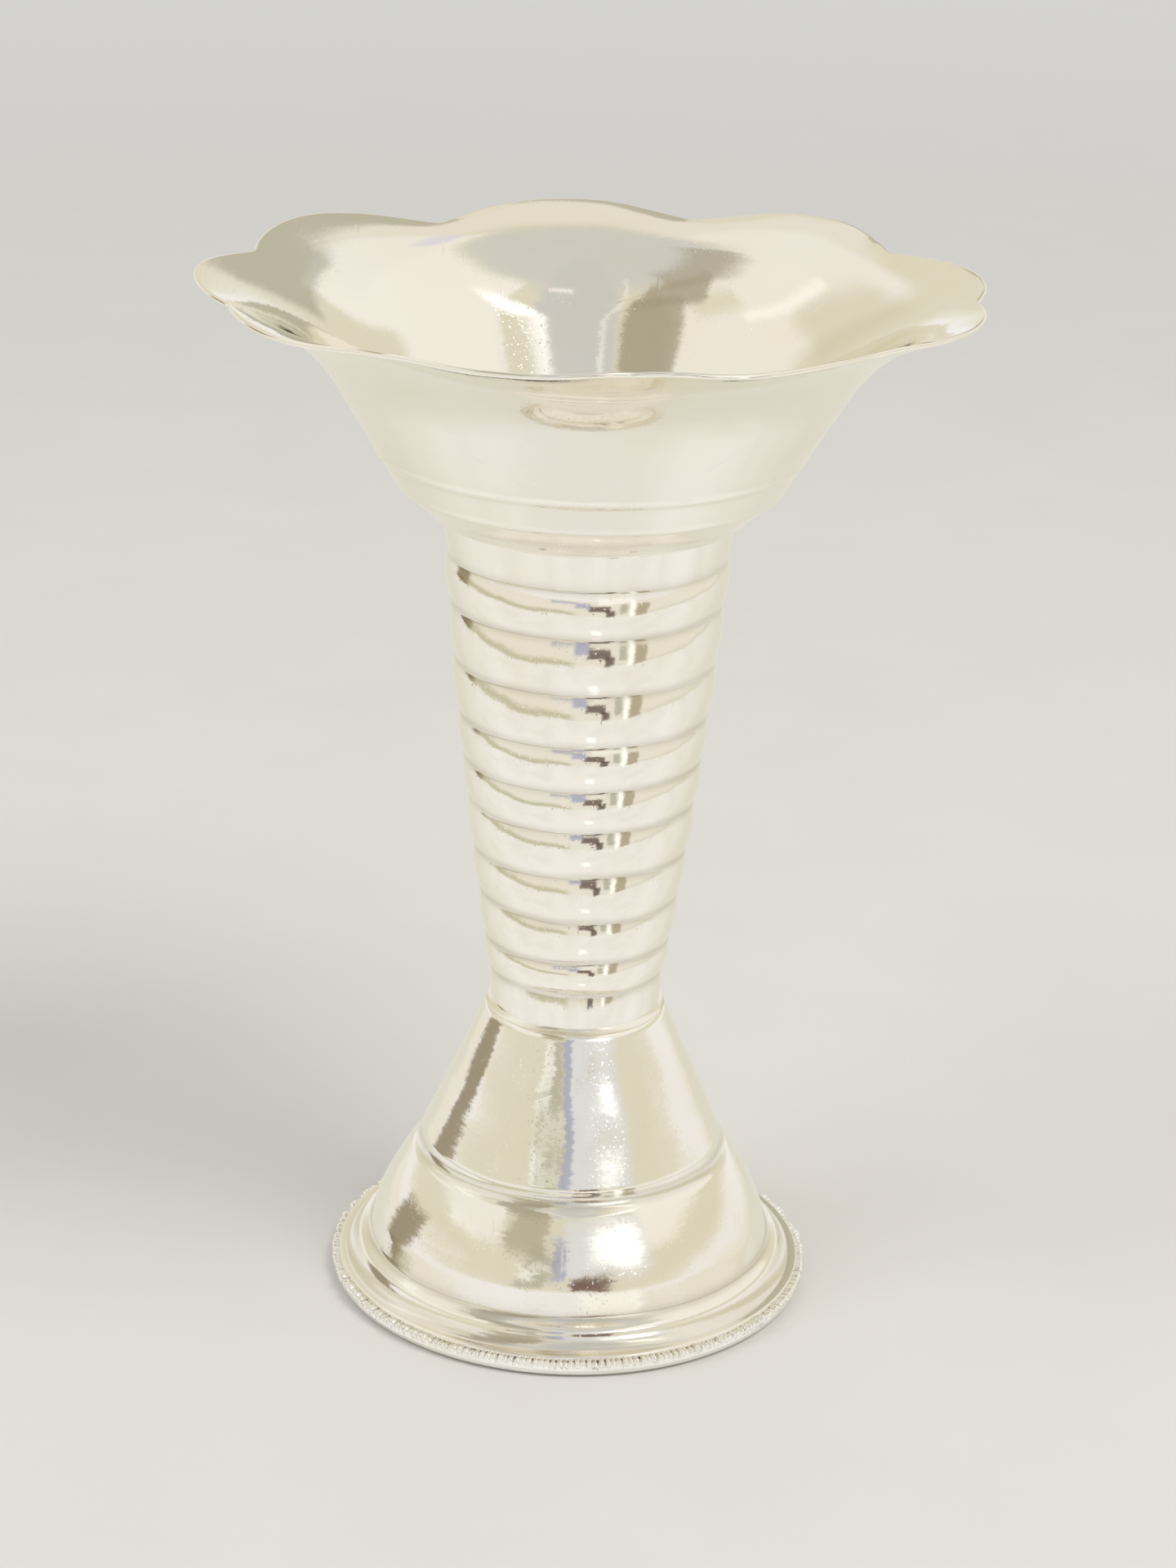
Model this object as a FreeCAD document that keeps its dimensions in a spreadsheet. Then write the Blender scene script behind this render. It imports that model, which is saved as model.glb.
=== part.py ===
"""Spun silver flower vase: a scalloped bowl on a ribbed stem and a stepped foot, soldered together.

The origin is the centre of the face that the vase stands on, +Z is up, and lengths are in millimetres.
Every sheet piece is drawn as the line of its outer skin, given its wall by an offset, and spun about Z.
"""
import FreeCAD, Part
import math
import os

import Sketcher

# Each size: name, millimetres (degrees where it says angle), and what it is.
SIZES = (
    ("foot_wall", 0.6, "sheet thickness of the foot"),
    ("stem_wall", 0.6, "sheet thickness of the stem"),
    ("bowl_wall", 0.6, "sheet thickness of the bowl"),
    ("solder_film", 0.05, "gap that solder fills where one tube sits in another"),
    ("solder_leg", 0.5, "leg of the solder fillets"),
    ("solder_hollow", 0.06, "how far the solder fillets are hollowed"),
    ("wire_solder_leg", 0.75, "leg of the larger fillet on the edge wire"),
    # foot, from the ground up
    ("wire_width", 3.1, "width of the edge wire, along the radius"),
    ("wire_thick", 1.8, "height of the edge wire"),
    ("wire_undercut", 0.9, "how far inside the wire's upper edge its round side leaves the ground"),
    ("wire_reach", 0.8, "how far the wire stands out past the brim above it"),
    ("bead_pitch", 1.4, "distance from bead to bead along the wire"),
    ("bead_nick_width", 0.5, "width of the nick between two beads"),
    ("bead_nick_inset", 0.15, "how far outside the brim a nick begins"),
    ("bead_nick_reach", 1.3, "how far down the wire's outer side a nick reaches"),
    ("cutter_margin", 0.2, "how far the nick cutter stands clear of the wire"),
    ("brim_radius", 28.35, "edge of the foot's brim"),
    ("brim_width", 0.75, "flat brim that rests on the edge wire"),
    ("cove_rise", 1.55, "height of the cove above the brim"),
    ("cove_run", 1.4, "run of that cove, along the radius"),
    ("cove_sink", 0.18, "how far the cove is hollowed"),
    ("step_rise", 0.75, "height of the rounded step above the cove"),
    ("step_run", 0.6, "run of that step"),
    ("step_swell", 0.12, "how far the step is rounded out"),
    ("ledge_rise", 0.7, "height of the ledge between step and wall"),
    ("ledge_run", 0.8, "run of that ledge"),
    ("wall_rise", 2.9, "height of the upright wall of the foot"),
    ("wall_run", 0.9, "lean of that wall"),
    ("dome_rise", 8.2, "height of the foot's lower dome"),
    ("dome_run", 4.5, "run of that dome"),
    ("dome_swell", 0.25, "how far the dome is rounded out"),
    ("waist_rise", 2.3, "height of the hollow line above the dome"),
    ("waist_run", 1.1, "run of that hollow line"),
    ("waist_sink", 0.4, "depth of that hollow line"),
    ("cone_rise", 15.5, "height of the foot's cone"),
    ("cone_sink", 0.12, "how far the cone is hollowed"),
    ("shoulder_rise", 0.9, "height of the rounded shoulder above the cone"),
    ("shoulder_run", 0.35, "run of that shoulder"),
    ("shoulder_swell", 0.08, "how far that shoulder is rounded out"),
    ("collar_rise", 0.7, "height of the straight collar round the stem"),
    # stem
    ("stem_foot_radius", 10.2, "outer radius of the stem's lower end"),
    ("stem_insert", 2.3, "length of stem inside the foot's collar"),
    ("stem_band", 4.9, "height of the plain band above the collar"),
    ("rib_bottom_radius", 10.75, "crest radius that the taper has at the lowest groove"),
    ("rib_top_radius", 16.75, "crest radius that the taper has at the highest groove"),
    ("rib_bow", 0.55, "how far the taper is bowed out at half height"),
    ("rib_depth", 0.42, "depth of the grooves between ribs"),
    ("band_swell", 0.12, "how far the plain band is rounded out"),
    ("neck_rise", 1.8, "height of the hollow neck above the highest groove"),
    ("neck_sink", 0.12, "how far the neck is hollowed"),
    ("mouth_radius", 17.0, "outer radius of the stem's mouth"),
    ("mouth_rise", 2.65, "height of the mouth's straight ring"),
    ("floor_thick", 0.6, "thickness of the disc that closes the stem"),
    ("floor_rise", 0.8, "height of that disc above the stem's lower end"),
    # bowl
    ("collar_clearance", 0.75, "straight part of the stem's mouth left free below the bowl's collar"),
    ("seam_radius", 17.5, "outer radius of the bowl where it sits on the stem"),
    ("ring_rise", 1.35, "height of the rounded ring above the seam"),
    ("ring_run", 1.6, "run of that ring"),
    ("bead_swell", 0.14, "how far the bowl's two rings are rounded out"),
    ("shelf_rise", 2.4, "height of the bowl's sloping underside"),
    ("shelf_run", 3.0, "run of that underside"),
    ("corner_rise", 0.9, "height of the turn below the bowl's cone"),
    ("corner_run", 0.7, "run of that turn"),
    ("corner_swell", 0.08, "how far that turn is rounded out"),
    ("bowl_cone_rise", 11.3, "height of the bowl's cone"),
    ("bowl_cone_run", 6.75, "run of the bowl's cone"),
    ("bead_place", 3.0, "height of the raised line above the foot of the cone"),
    ("bead_rise", 1.0, "height of that raised line"),
    ("flare_rise", 11.3, "height of the flare above the cone"),
    ("blank_radius", 46.2, "radius of the flare before its rim is cut"),
    ("rim_margin", 4.0, "how far the rim cutter reaches past the flare, up and down"),
)

# Heights of the stem's ribs from the lowest up. They were rolled by hand, so no two are quite alike.
RIB_HEIGHTS = (4.3, 5.6, 6.0, 6.0, 5.3, 5.65, 6.55, 7.0, 5.6)

# The rim's hand-cut lobes, going round from +X towards +Y. Each begins at a notch of this angle, which
# reaches in to this radius, and is cut to this radius at its middle.
NOTCH_ANGLES = (-5.0, 34.0, 74.0, 118.5, 161.5, 202.0, 240.5, 276.0, 314.0)
NOTCH_RADII = (42.9, 42.0, 42.0, 40.5, 42.0, 42.9, 42.7, 43.0, 42.3)
LOBE_RADII = (45.0, 45.4, 45.0, 45.2, 45.1, 45.0, 44.5, 44.6, 45.0)

doc = FreeCAD.newDocument("flower_vase")
sheet = doc.addObject("Spreadsheet::Sheet", "sizes")


class Dim:
    """A length: its value now, and the formula of spreadsheet names that gives it."""

    def __init__(self, value, formula):
        self.value = value
        self.formula = formula

    def combined(self, sign, other, value):
        other_formula = other.formula if isinstance(other, Dim) else str(other)
        return Dim(value, f"({self.formula} {sign} {other_formula})")

    def __add__(self, other):
        return self.combined("+", other, self.value + number(other))

    def __sub__(self, other):
        return self.combined("-", other, self.value - number(other))

    def __mul__(self, other):
        return self.combined("*", other, self.value * number(other))

    def __truediv__(self, other):
        return self.combined("/", other, self.value / number(other))

    def root(self):
        return Dim(math.sqrt(self.value), f"sqrt({self.formula})")


def number(dim):
    return dim.value if isinstance(dim, Dim) else dim


def fill_sheet():
    """Write every size into the spreadsheet and return them by name."""
    rows = list(SIZES)
    for place, height in enumerate(RIB_HEIGHTS, 1):
        rows.append((f"rib_{place}_height", height, f"height of rib {place}, counted from the lowest"))
    for place, (angle, notch, lobe) in enumerate(zip(NOTCH_ANGLES, NOTCH_RADII, LOBE_RADII), 1):
        rows.append((f"notch_{place}_angle", angle, f"angle of the notch before rim lobe {place}"))
        rows.append((f"notch_{place}_radius", notch, "radius that this notch reaches in to"))
        rows.append((f"lobe_{place}_radius", lobe, f"radius of rim lobe {place} at its middle"))
    for row, (name, value, meaning) in enumerate(rows, 1):
        sheet.set(f"A{row}", meaning)
        sheet.set(f"B{row}", str(value))
        sheet.setAlias(f"B{row}", name)
    return {name: Dim(value, f"sizes.{name}") for name, value, _ in rows}


size = fill_sheet()
doc.recompute()


class Outline:
    """A chain of lines and arcs in a sketch. Every corner is a pair of Dims: across and up."""

    def __init__(self, sketch, start):
        self.sketch = sketch
        self.start = start
        self.corner = start
        self.first = None
        self.last = None

    def bind(self, dim, kind, *where):
        index = self.sketch.addConstraint(Sketcher.Constraint(kind, *where, dim.value))
        self.sketch.setExpression(f"Constraints[{index}]", dim.formula)

    def pin(self, point, corner):
        self.bind(corner[0], "DistanceX", *point)
        self.bind(corner[1], "DistanceY", *point)

    def add_edge(self, curve, corner, joint="Coincident"):
        """Add a curve from the present corner to the next one, joined to the edge before it."""
        edge = self.sketch.addGeometry(curve)
        here = vector(self.corner)
        near, far = sorted((1, 2), key=lambda end: self.sketch.getPoint(edge, end).distanceToPoint(here))
        if self.last is None:
            self.first = (edge, near)
            self.pin(self.first, self.corner)
        else:
            self.sketch.addConstraint(Sketcher.Constraint(joint, *self.last, edge, near))
        self.last = (edge, far)
        self.corner = corner
        if corner == self.start:
            self.sketch.addConstraint(Sketcher.Constraint("Coincident", *self.last, *self.first))
        else:
            self.pin(self.last, corner)
        return edge

    def line_to(self, across, up):
        corner = (across, up)
        self.add_edge(Part.LineSegment(vector(self.corner), vector(corner)), corner)

    def arc_to(self, across, up, swell):
        """Add an arc that bulges by swell to the right of the way that the outline runs."""
        corner = (across, up)
        run = across - self.corner[0]
        rise = up - self.corner[1]
        edge = self.add_edge(arc(self.corner, corner, swell.value), corner)
        bulge = swell if swell.value > 0 else swell * -1
        self.bind((run * run + rise * rise) / (bulge * 8) + bulge / 2, "Radius", edge)

    def sweep_to(self, across, up):
        """Add an arc that leaves the edge before it without a corner."""
        corner = (across, up)
        before, _ = self.last
        line = self.sketch.Geometry[before]
        ahead = line.EndPoint - line.StartPoint
        chord = vector(corner) - vector(self.corner)
        turn = math.atan2(ahead.y, ahead.x) - math.atan2(chord.y, chord.x)
        swell = -math.tan(turn / 2) * chord.Length / 2
        self.add_edge(arc(self.corner, corner, swell), corner, "Tangent")


def vector(corner):
    return FreeCAD.Vector(corner[0].value, corner[1].value, 0)


def arc(start, end, swell):
    """An arc from corner to corner that bulges by swell to the right of the way it runs."""
    start, end = vector(start), vector(end)
    chord = end - start
    right = FreeCAD.Vector(chord.y, -chord.x, 0).normalize()
    return Part.Arc(start, (start + end) * 0.5 + right * swell, end)


def section(name, owner=doc):
    """A sketch in the plane through the axis: across is the distance from the axis, up is the height."""
    if owner is doc:
        sketch = doc.addObject("Sketcher::SketchObject", name)
        sketch.Placement.Rotation = FreeCAD.Rotation(FreeCAD.Vector(1, 0, 0), 90)
        return sketch
    sketch = owner.newObject("Sketcher::SketchObject", name)
    attach(sketch, owner, "XZ_Plane")
    return sketch


def origin_feature(body, role):
    return next(feature for feature in body.Origin.OriginFeatures if feature.Role == role)


def attach(sketch, body, plane):
    sketch.AttachmentSupport = [(origin_feature(body, plane), "")]
    sketch.MapMode = "FlatFace"


def spin_sheet(name, outline, wall):
    """Give an outer line its wall on the side of the axis, and spin it into a shell."""
    walled = doc.addObject("Part::Offset2D", f"{name}_walled")
    walled.Source = outline.sketch
    walled.setExpression("Value", wall.formula)
    walled.Mode = "Skin"
    walled.Join = "Arc"
    walled.Fill = True
    spun = doc.addObject("Part::Revolution", name)
    spun.Source = walled
    spun.Axis = (0, 0, 1)
    spun.Angle = 360
    spun.Solid = True
    return spun


def turn(body, outline):
    """Turn a closed section into a ring, as the first feature of its body."""
    turned = body.newObject("PartDesign::Revolution", f"{body.Name}_turned")
    turned.Profile = outline.sketch
    turned.ReferenceAxis = (outline.sketch, ["V_Axis"])
    turned.Angle = 360


def turn_solder(name, corners):
    """A ring of solder with a three-cornered section, hollowed from its second corner to its third."""
    body = doc.addObject("PartDesign::Body", name)
    outline = Outline(section(f"{name}_section", body), corners[0])
    outline.line_to(*corners[1])
    outline.arc_to(*corners[2], size["solder_hollow"] * -1)
    outline.line_to(*corners[0])
    turn(body, outline)
    return body


# Heights of the seams between the pieces, from the ground up.
ground = Dim(0, "0 mm")
brim_height = size["wire_thick"] + size["foot_wall"]
collar_foot = brim_height
for ring in ("cove", "step", "ledge", "wall", "dome", "waist", "cone", "shoulder"):
    collar_foot = collar_foot + size[f"{ring}_rise"]
collar_height = collar_foot + size["collar_rise"]
stem_bottom = collar_height - size["stem_insert"]
floor_height = stem_bottom + size["floor_rise"]
ribs_bottom = collar_height + size["stem_band"]
ribs_top = ribs_bottom
for place in range(1, len(RIB_HEIGHTS) + 1):
    ribs_top = ribs_top + size[f"rib_{place}_height"]
seam_height = ribs_top + size["neck_rise"] + size["mouth_rise"]
bowl_bottom = seam_height - size["mouth_rise"] + size["collar_clearance"]

# Radii at which the pieces meet.
collar_radius = size["stem_foot_radius"] + size["solder_film"] + size["foot_wall"]
stem_bore = size["stem_foot_radius"] - size["stem_wall"]
mouth_bore = size["mouth_radius"] - size["stem_wall"]
wire_radius = size["brim_radius"] + size["wire_reach"]
wire_inside = wire_radius - size["wire_width"]
wire_ground = wire_radius - size["wire_undercut"]


def make_foot():
    """The foot, from its brim up through cove, step, wall, dome and cone to the collar round the stem."""
    across = size["brim_radius"]
    up = brim_height
    outline = Outline(section("foot_outline"), (across, up))
    across = across - size["brim_width"]
    outline.line_to(across, up)
    across, up = across - size["cove_run"], up + size["cove_rise"]
    outline.arc_to(across, up, size["cove_sink"] * -1)
    across, up = across - size["step_run"], up + size["step_rise"]
    outline.arc_to(across, up, size["step_swell"])
    across, up = across - size["ledge_run"], up + size["ledge_rise"]
    outline.line_to(across, up)
    across, up = across - size["wall_run"], up + size["wall_rise"]
    outline.line_to(across, up)
    across, up = across - size["dome_run"], up + size["dome_rise"]
    outline.arc_to(across, up, size["dome_swell"])
    across, up = across - size["waist_run"], up + size["waist_rise"]
    outline.arc_to(across, up, size["waist_sink"] * -1)
    across, up = collar_radius + size["shoulder_run"], up + size["cone_rise"]
    outline.arc_to(across, up, size["cone_sink"] * -1)
    outline.arc_to(collar_radius, collar_foot, size["shoulder_swell"])
    outline.line_to(collar_radius, collar_height)
    return spin_sheet("foot", outline, size["foot_wall"])


def make_edge_wire():
    """The wire under the brim: flat below, round outside, its upper outer corner nicked into beads."""
    body = doc.addObject("PartDesign::Body", "foot_edge_wire")
    outline = Outline(section("wire_section", body), (wire_inside, ground))
    outline.line_to(wire_ground, ground)
    outline.sweep_to(wire_radius, size["wire_thick"])
    outline.line_to(wire_inside, size["wire_thick"])
    outline.line_to(wire_inside, ground)
    turn(body, outline)

    above = size["wire_thick"] + size["cutter_margin"]
    undercut, thick = size["wire_undercut"], size["wire_thick"]
    roundness = (undercut * undercut + thick * thick) / (thick * 2)
    beyond = wire_ground + roundness + size["cutter_margin"]
    nick = Outline(section("nick_outline", body), (size["brim_radius"] + size["bead_nick_inset"], above))
    nick.line_to(beyond, size["wire_thick"] - size["bead_nick_reach"])
    nick.line_to(beyond, above)
    nick.line_to(*nick.start)
    pocket = body.newObject("PartDesign::Pocket", "nick")
    pocket.Profile = nick.sketch
    pocket.Midplane = True
    pocket.setExpression("Length", size["bead_nick_width"].formula)

    beads = body.newObject("PartDesign::PolarPattern", "beads")
    beads.Originals = [pocket]
    beads.Axis = (origin_feature(body, "Z_Axis"), [""])
    beads.Angle = 360
    beads.setExpression("Occurrences", f"round(2 * pi * {wire_radius.formula} / sizes.bead_pitch)")
    body.Tip = beads
    return body


def make_stem():
    """The stem: a tube that widens upward, rolled into rounded ribs with a sharp groove between each two."""
    outline = Outline(section("stem_outline"), (size["stem_foot_radius"], stem_bottom))
    outline.line_to(size["stem_foot_radius"], collar_height + size["solder_leg"])
    up = ribs_bottom
    outline.arc_to(groove_radius(up), up, size["band_swell"])
    for place in range(1, len(RIB_HEIGHTS) + 1):
        up = up + size[f"rib_{place}_height"]
        outline.arc_to(groove_radius(up), up, size["rib_depth"])
    up = up + size["neck_rise"]
    outline.arc_to(size["mouth_radius"], up, size["neck_sink"] * -1)
    outline.line_to(size["mouth_radius"], seam_height)
    return spin_sheet("stem", outline, size["stem_wall"])


def groove_radius(up):
    """The radius at the bottom of a groove: the bowed taper of the ribs, less their depth."""
    share = (up - ribs_bottom) / (ribs_top - ribs_bottom)
    taper = size["rib_bottom_radius"] + (size["rib_top_radius"] - size["rib_bottom_radius"]) * share
    bow = size["rib_bow"] * share * (share * -4 + 4)
    return taper + bow - size["rib_depth"]


def make_stem_floor():
    """The disc that closes the lower end of the stem, so that the vase holds water."""
    body = doc.addObject("PartDesign::Body", "stem_floor")
    sketch = body.newObject("Sketcher::SketchObject", "stem_floor_outline")
    attach(sketch, body, "XY_Plane")
    sketch.setExpression("AttachmentOffset.Base.z", floor_height.formula)
    radius = stem_bore - size["solder_film"]
    circle = sketch.addGeometry(Part.Circle(FreeCAD.Vector(), FreeCAD.Vector(0, 0, 1), radius.value))
    sketch.addConstraint(Sketcher.Constraint("Coincident", circle, 3, -1, 1))
    index = sketch.addConstraint(Sketcher.Constraint("Radius", circle, radius.value))
    sketch.setExpression(f"Constraints[{index}]", radius.formula)
    pad = body.newObject("PartDesign::Pad", "stem_floor_disc")
    pad.Profile = sketch
    pad.setExpression("Length", size["floor_thick"].formula)
    return body


def make_bowl():
    """The bowl: a collar in the stem's mouth, a stepped underside, a cone and a flare with a lobed rim."""
    collar = mouth_bore - size["solder_film"]
    outline = Outline(section("bowl_outline"), (collar, bowl_bottom))
    outline.line_to(collar, seam_height)
    across, up = size["seam_radius"], seam_height
    outline.line_to(across, up)
    across, up = across + size["ring_run"], up + size["ring_rise"]
    outline.arc_to(across, up, size["bead_swell"])
    across, up = across + size["shelf_run"], up + size["shelf_rise"]
    outline.line_to(across, up)
    across, up = across + size["corner_run"], up + size["corner_rise"]
    outline.arc_to(across, up, size["corner_swell"])
    lean = size["bowl_cone_run"] / size["bowl_cone_rise"]
    bead_foot = size["bead_place"]
    bead_top = size["bead_place"] + size["bead_rise"]
    outline.line_to(across + lean * bead_foot, up + bead_foot)
    outline.arc_to(across + lean * bead_top, up + bead_top, size["bead_swell"])
    across, up = across + size["bowl_cone_run"], up + size["bowl_cone_rise"]
    outline.line_to(across, up)
    up = up + size["flare_rise"]
    outline.sweep_to(size["blank_radius"], up)
    blank = spin_sheet("bowl_blank", outline, size["bowl_wall"])

    cutter = doc.addObject("Part::Extrusion", "rim_cutter")
    cutter.Base = rim_outline().sketch
    cutter.Dir = (0, 0, 1)
    cutter.DirMode = "Custom"
    cutter.Solid = True
    bottom = bowl_bottom - size["rim_margin"]
    cutter.Base.setExpression("Placement.Base.z", bottom.formula)
    cutter.setExpression("LengthFwd", (up + size["rim_margin"] - bottom).formula)
    bowl = doc.addObject("Part::Common", "bowl")
    bowl.Base = blank
    bowl.Tool = cutter
    return bowl


def rim_outline():
    """The rim from above: one arc for each lobe, from notch to notch."""
    notches = []
    for place in range(1, len(NOTCH_ANGLES) + 1):
        notches.append(polar(size[f"notch_{place}_radius"], size[f"notch_{place}_angle"]))
    outline = Outline(doc.addObject("Sketcher::SketchObject", "rim_outline"), notches[0])
    for place, (here, there) in enumerate(zip(notches, notches[1:] + notches[:1]), 1):
        middle = ((here[0] + there[0]) / 2, (here[1] + there[1]) / 2)
        reach = (middle[0] * middle[0] + middle[1] * middle[1]).root()
        outline.arc_to(*there, size[f"lobe_{place}_radius"] - reach)
    return outline


def polar(radius, angle):
    turned = math.radians(angle.value)
    return (
        Dim(radius.value * math.cos(turned), f"{radius.formula} * cos({angle.formula})"),
        Dim(radius.value * math.sin(turned), f"{radius.formula} * sin({angle.formula})"),
    )


def fit_solder(name, corners, sheet_piece):
    """A ring of solder that gives way to the sheet it lies against."""
    fitted = doc.addObject("Part::Cut", name)
    fitted.Base = turn_solder(f"{name}_blank", corners)
    fitted.Tool = sheet_piece
    return fitted


def make_solder():
    """The solder at each of the four seams, as a ring of its own."""
    leg = size["solder_leg"]
    tube, up = mouth_bore, bowl_bottom
    bowl_solder = fit_solder("bowl_solder", [(tube, up), (tube - leg, up), (tube, up - leg)], stem)

    tube, up = size["stem_foot_radius"], collar_height
    stem_solder = turn_solder("stem_solder", [(tube, up), (collar_radius, up), (tube, up + leg)])

    tube, up = stem_bore, floor_height
    floor_solder = turn_solder("floor_solder", [(tube, up), (tube - leg, up), (tube, up - leg)])

    leg = size["wire_solder_leg"]
    cove_foot, up = size["brim_radius"] - size["brim_width"], size["wire_thick"]
    behind = cove_foot - size["foot_wall"]
    wire_solder = fit_solder("wire_solder", [(cove_foot, up), (behind - leg, up), (behind, up + leg)], foot)
    return [bowl_solder, stem_solder, floor_solder, wire_solder]


def check_document():
    """Stop if any object failed, any sketch is loose, or any piece is not one valid solid."""
    for item in doc.Objects:
        if "Invalid" in item.State or "Error" in item.State:
            raise RuntimeError(f"{item.Name} failed: {item.State}")
        if item.isDerivedFrom("Sketcher::SketchObject") and item.solve() != 0:
            raise RuntimeError(f"{item.Name} doesn't solve")
    for piece in pieces:
        shape = piece.Shape
        if shape.isNull() or not shape.isValid() or len(shape.Solids) != 1:
            raise RuntimeError(f"{piece.Label} is not one valid solid")


foot = make_foot()
stem = make_stem()
pieces = [foot, make_edge_wire(), stem, make_stem_floor(), make_bowl()] + make_solder()
doc.recompute()
check_document()

os.makedirs("parts", exist_ok=True)
for piece in pieces:
    piece.Shape.exportStep(f"parts/{piece.Label}.step")
    print(f"{piece.Label}: {piece.Shape.Volume:.1f} mm3")
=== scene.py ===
"""Looks of the silver flower vase: spun sheet with hand-made wobble, polish lines, and a nicked bead edge.

Profiles are drawn in millimetres, as the distance from the axis and the height, and meshed in metres.
"""

import math

import bpy
import numpy as np
from mathutils import Euler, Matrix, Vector, noise


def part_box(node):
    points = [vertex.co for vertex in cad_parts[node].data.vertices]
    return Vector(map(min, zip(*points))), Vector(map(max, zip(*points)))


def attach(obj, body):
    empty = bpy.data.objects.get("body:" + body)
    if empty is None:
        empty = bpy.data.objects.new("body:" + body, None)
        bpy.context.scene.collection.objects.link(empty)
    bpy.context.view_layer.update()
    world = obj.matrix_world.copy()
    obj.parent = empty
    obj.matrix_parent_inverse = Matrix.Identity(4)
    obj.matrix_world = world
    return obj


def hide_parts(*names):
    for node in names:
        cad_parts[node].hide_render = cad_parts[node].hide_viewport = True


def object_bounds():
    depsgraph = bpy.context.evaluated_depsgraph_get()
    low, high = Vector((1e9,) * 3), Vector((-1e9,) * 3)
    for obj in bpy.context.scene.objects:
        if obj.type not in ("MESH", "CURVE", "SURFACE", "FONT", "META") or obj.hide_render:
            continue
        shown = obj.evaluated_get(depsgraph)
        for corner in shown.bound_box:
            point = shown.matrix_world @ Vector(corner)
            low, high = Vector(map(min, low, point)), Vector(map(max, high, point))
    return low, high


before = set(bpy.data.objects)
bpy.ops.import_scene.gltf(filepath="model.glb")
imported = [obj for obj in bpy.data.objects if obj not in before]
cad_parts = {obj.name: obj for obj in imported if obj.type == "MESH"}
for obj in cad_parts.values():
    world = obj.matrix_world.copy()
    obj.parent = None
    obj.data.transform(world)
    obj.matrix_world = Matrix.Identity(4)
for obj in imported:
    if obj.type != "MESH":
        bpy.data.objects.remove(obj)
cad_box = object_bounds()

MM = 0.001
TURN = 2 * math.pi
FINE = 0.05                                     # spacing of the points that profiles are drawn with


# ---------------------------------------------------------------- profiles

def bell(away, width):
    """1 at no distance, falling away smoothly on both sides."""
    return np.exp(-0.5 * (away / width) ** 2)


def fade(up, low, low_run, high, high_run):
    """1 between two heights, falling to 0 at low, over low_run, and at high, over high_run."""
    return np.clip((up - low) / low_run, 0, 1) * np.clip((high - up) / high_run, 0, 1)


class Outline:
    """A profile in millimetres, drawn by moves along the radius and upward."""

    def __init__(self, across, up):
        self.points = [(across, up)]

    def arc(self, run, rise, swell):
        """A move that bulges by swell to its right, or is straight, sampled finely enough to smooth."""
        x, y = self.points[-1]
        length = math.hypot(run, rise)
        steps = max(2, round(length / FINE))
        right = (rise / length, -run / length)
        for step in range(1, steps + 1):
            share = step / steps
            bulge = 4 * swell * share * (1 - share)
            self.points.append((x + run * share + right[0] * bulge, y + rise * share + right[1] * bulge))

    def to(self, across, up, swell=0):
        x, y = self.points[-1]
        self.arc(across - x, up - y, swell)


def resample(points, spacing):
    """The same line with points at even spacing."""
    points = np.asarray(points, float)
    along = np.concatenate([[0], np.cumsum(np.hypot(*np.diff(points, axis=0).T))])
    count = max(2, round(along[-1] / spacing) + 1)
    places = np.linspace(0, along[-1], count)
    return np.stack([np.interp(places, along, points[:, axis]) for axis in (0, 1)], 1)


def soften(points, radius):
    """Round the corners of an evenly spaced line, with its ends left in place."""
    points = np.asarray(points, float)
    spacing = np.hypot(*(points[1] - points[0]))
    reach = max(1, int(3 * radius / spacing))
    kernel = bell(np.arange(-reach, reach + 1) * spacing, radius)
    kernel /= kernel.sum()
    padded = np.concatenate([
        2 * points[0] - points[reach:0:-1],
        points,
        2 * points[-1] - points[-2:-reach - 2:-1],
    ])
    return np.stack([np.convolve(padded[:, axis], kernel, "valid") for axis in (0, 1)], 1)


def offset(points, wall):
    """The line that lies one wall to the left of another, without the loops that tight corners make."""
    ahead = np.gradient(points, axis=0)
    ahead /= np.hypot(*ahead.T)[:, None]
    moved = points + wall * np.stack([-ahead[:, 1], ahead[:, 0]], 1)
    gaps = np.hypot(*(moved[:, None, :] - points[None, :, :]).transpose(2, 0, 1)).min(1)
    return moved[gaps > wall * 0.985]


def rounded_edge(start, end, steps):
    """A half-round edge between two skins, from start to end, bulging to the right."""
    start, end = np.asarray(start), np.asarray(end)
    middle, half = (start + end) / 2, (end - start) / 2
    right = np.array([half[1], -half[0]])
    angles = np.linspace(math.pi, 0, steps + 2)[1:-1]
    return np.array([middle + half * math.cos(a) + right * 0.7 * math.sin(a) for a in angles])


def sheet_loop(outer, wall, spacing, edge_steps=5):
    """A closed section of sheet: up the outer skin, over its upper edge, down inside and round below."""
    inner = resample(offset(outer, wall), spacing * 2)[::-1]
    outer = resample(outer, spacing)
    over = rounded_edge(outer[-1], inner[0], edge_steps)
    under = rounded_edge(inner[-1], outer[0], edge_steps)
    return np.concatenate([outer, over, inner, under]), len(outer)


# ---------------------------------------------------------------- meshes

def ripple(x, y, along, height, turns, pitch, shift=(0, 0)):
    """Hand-made unevenness up to height. turns sets its pace round the axis, and pitch along the profile."""
    return height * noise.noise(Vector((turns * x + shift[0], turns * y, along * pitch + shift[1])))


def on_circle(step, steps):
    """The cosine and sine of a share of a turn."""
    angle = TURN * step / steps
    return math.cos(angle), math.sin(angle)


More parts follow.
